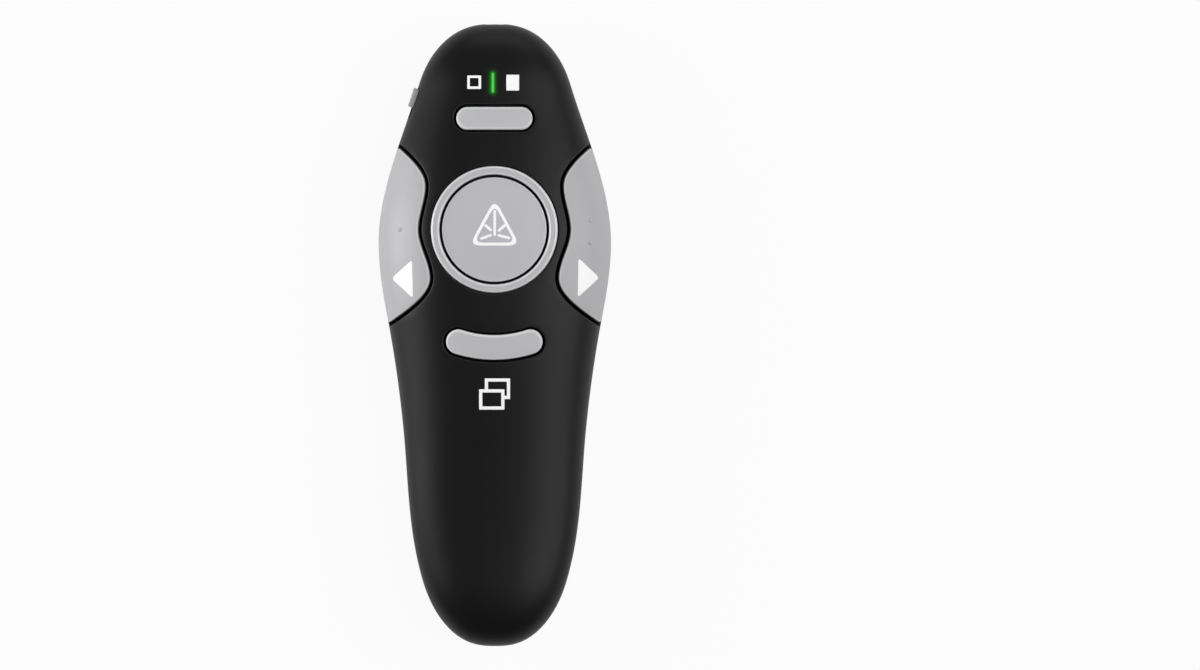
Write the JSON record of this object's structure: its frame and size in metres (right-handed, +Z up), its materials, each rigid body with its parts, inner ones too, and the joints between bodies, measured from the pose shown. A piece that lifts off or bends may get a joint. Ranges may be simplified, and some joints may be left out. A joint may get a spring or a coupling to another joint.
{
  "type": "wireless presentation clicker",
  "caption": "Handheld presentation remote with a round laser key, side paddles, sliding power switch, slide-off battery cover and a stowed USB receiver.",
  "frame": {"origin": "under the middle of the body, on the surface it rests on when it lies on its back", "axes": "+Z up, out of the face with the buttons; +Y towards the nose with the laser window; +X to the right seen from above"},
  "size_m": [0.0478, 0.1279, 0.0251],
  "materials": {
    "soft_black": "soft-touch charcoal black, fine matt texture",
    "tray_black": "semi-gloss black moulding",
    "ring_silver": "satin silver lacquer",
    "cap_grey": "light grey satin plastic, white print",
    "button_grey": "grey satin plastic",
    "paddle_grey": "light grey satin plastic, white arrows",
    "board_green": "solder mask over glass laminate",
    "part_black": "black moulded plastic",
    "tin_plate": "bright tin-plated steel",
    "contact_plate": "nickel-plated spring steel",
    "led_white": "cast LED package",
    "bar_green": "clear light pipe, lit green",
    "barrel_brass": "turned brass",
    "lens_glass": "clear lens",
    "window_red": "dark red transparent window",
    "cell_sleeve": "printed film sleeve, left plain",
    "latch_grey": "light grey plastic tongue, dark ridged pad",
    "tongue_white": "white insulator",
    "gold_strip": "gold-plated strips"
  },
  "bodies": {
    "root": {"top_shell": "soft_black", "bottom_shell": "soft_black", "battery_tray": "tray_black", "laser_ring": "ring_silver", "circuit_board": "board_green", "press_switches": "part_black", "radio_chip": "part_black", "crystal": "tin_plate", "status_led": "led_white", "light_pipe": "bar_green", "laser_barrel": "barrel_brass", "laser_lens": "lens_glass", "nose_window": "window_red", "slide_switch": "tin_plate", "battery_cell": "cell_sleeve", "positive_contact": "contact_plate", "negative_contact": "contact_plate", "tail_screw": "contact_plate", "board_screws": "contact_plate"},
    "laser_key": {"laser_button": "cap_grey", "laser_plunger": "part_black"},
    "screen_key": {"screen_button": "button_grey", "screen_plunger": "part_black"},
    "window_key": {"window_button": "button_grey", "window_plunger": "part_black"},
    "back_key": {"back_paddle": "paddle_grey", "back_plunger": "part_black"},
    "forward_key": {"forward_paddle": "paddle_grey", "forward_plunger": "part_black"},
    "power_slider": {"power_knob": "ring_silver", "switch_lever": "part_black"},
    "cover": {"battery_cover": "soft_black"},
    "latch": {"cover_latch": "latch_grey"},
    "receiver": {"plug_shell": "tin_plate", "receiver_grip": "part_black", "plug_tongue": "tongue_white", "plug_contacts": "gold_strip"}
  },
  "joints": [
    {"name": "laser_press", "type": "slide", "parent": "root", "child": "laser_key", "axis": [0, 0, -1], "range_m": [0, 0.0006], "stiffness_N_per_m": 800},
    {"name": "screen_press", "type": "slide", "parent": "root", "child": "screen_key", "axis": [0, 0, -1], "range_m": [0, 0.0006], "stiffness_N_per_m": 800},
    {"name": "window_press", "type": "slide", "parent": "root", "child": "window_key", "axis": [0, 0, -1], "range_m": [0, 0.0006], "stiffness_N_per_m": 800},
    {"name": "back_tilt", "type": "hinge", "parent": "root", "child": "back_key", "pos_m": [-0.0167, 0.0335, 0.0148], "axis": [1, 0, 0], "range_deg": [0, 1.2], "stiffness_Nm_per_rad": 0.4},
    {"name": "forward_tilt", "type": "hinge", "parent": "root", "child": "forward_key", "pos_m": [0.0167, 0.0335, 0.0148], "axis": [1, 0, 0], "range_deg": [0, 1.2], "stiffness_Nm_per_rad": 0.4},
    {"name": "power_slide", "type": "slide", "parent": "root", "child": "power_slider", "axis": [-0.3112, -0.9504, 0], "range_m": [0, 0.002]},
    {"name": "cover_slide", "type": "slide", "parent": "root", "child": "cover", "axis": [0, -1, 0], "range_m": [0, 0.088]},
    {"name": "latch_slide", "type": "slide", "parent": "cover", "child": "latch", "axis": [0, -1, 0], "range_m": [0, 0.0015], "stiffness_N_per_m": 300},
    {"name": "receiver_slide", "type": "slide", "parent": "root", "child": "receiver", "axis": [0, -1, 0], "range_m": [0, 0.006]}
  ]
}
